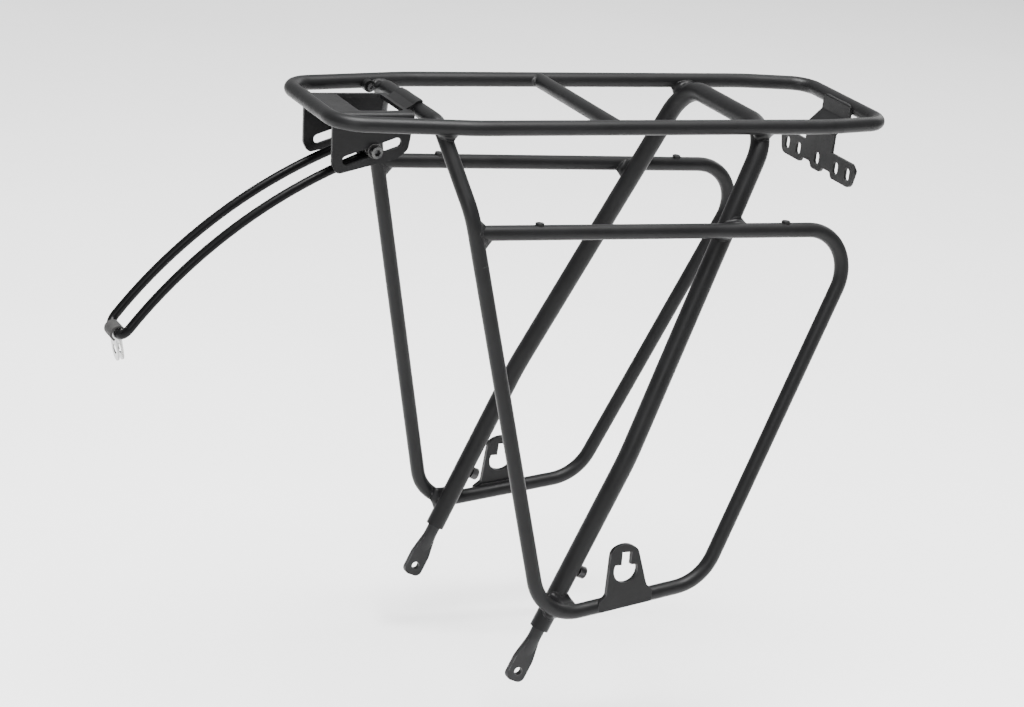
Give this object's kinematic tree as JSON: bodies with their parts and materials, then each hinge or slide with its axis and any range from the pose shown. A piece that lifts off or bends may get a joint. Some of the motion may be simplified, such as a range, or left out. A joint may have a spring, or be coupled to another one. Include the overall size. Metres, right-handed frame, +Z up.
{
  "type": "rear rack",
  "caption": "Welded tubular rear pannier rack with a deck loop, leaning side loops, a strut hoop on telescoping feet, a light bracket and an adjustable front stay.",
  "frame": {"origin": "midway between the two eyelets that bolt to the bicycle's rear dropouts", "axes": "+X forward along the bicycle, +Y to the rider's left, +Z up"},
  "size_m": [0.5256, 0.2076, 0.3833],
  "materials": {
    "frame_paint": "satin black powder coat with fine orange peel",
    "stay_paint": "gloss black",
    "foot_paint": "satin black over a forged surface",
    "bright_steel": "zinc-plated steel, slightly dull",
    "black_steel": "black oxide",
    "clip_steel": "stainless strip",
    "clip_rubber": "matt black rubber"
  },
  "bodies": {
    "frame": {"deck_loop": "frame_paint", "front_arch": "frame_paint", "strut_hoop": "frame_paint", "deck_crossbar": "frame_paint", "light_bracket": "frame_paint", "stay_bracket": "frame_paint", "left_side_loop": "frame_paint", "left_pannier_plate": "frame_paint", "left_front_stop": "frame_paint", "left_rear_stop": "frame_paint", "left_foot_screw": "black_steel", "left_deck_boss": "frame_paint", "left_boss_screw": "bright_steel", "right_side_loop": "frame_paint", "right_pannier_plate": "frame_paint", "right_front_stop": "frame_paint", "right_rear_stop": "frame_paint", "right_foot_screw": "black_steel", "right_deck_boss": "frame_paint", "right_boss_screw": "bright_steel"},
    "left_foot": {"left_foot": "foot_paint"},
    "right_foot": {"right_foot": "foot_paint"},
    "clamp_bolts": {"left_stay_bolt": "bright_steel", "left_stay_washer": "black_steel", "left_stay_spacer": "black_steel", "left_stay_nut": "bright_steel", "right_stay_bolt": "bright_steel", "right_stay_washer": "black_steel", "right_stay_spacer": "black_steel", "right_stay_nut": "bright_steel"},
    "stay": {"stay_rod": "stay_paint"},
    "clip": {"tip_clip": "clip_steel", "clip_jacket": "clip_rubber"}
  },
  "joints": [
    {"name": "left_foot_slide", "type": "slide", "parent": "frame", "child": "left_foot", "axis": [0.3827, 0, -0.9239], "range_m": [-0.006, 0.04]},
    {"name": "right_foot_slide", "type": "slide", "parent": "frame", "child": "right_foot", "axis": [0.3827, 0, -0.9239], "range_m": [-0.006, 0.04]},
    {"name": "clamp_slide", "type": "slide", "parent": "frame", "child": "clamp_bolts", "axis": [0.9443, 0, -0.3291], "range_m": [-0.0155, 0.019]},
    {"name": "stay_hinge", "type": "hinge", "parent": "clamp_bolts", "child": "stay", "pos_m": [0.1165, 0, 0.34497], "axis": [0, 1, 0], "range_deg": [-35, 50]},
    {"name": "clip_hinge", "type": "hinge", "parent": "stay", "child": "clip", "pos_m": [0.26938, 0, 0.22106], "axis": [0, 1, 0], "range_deg": [-75, 100]}
  ]
}
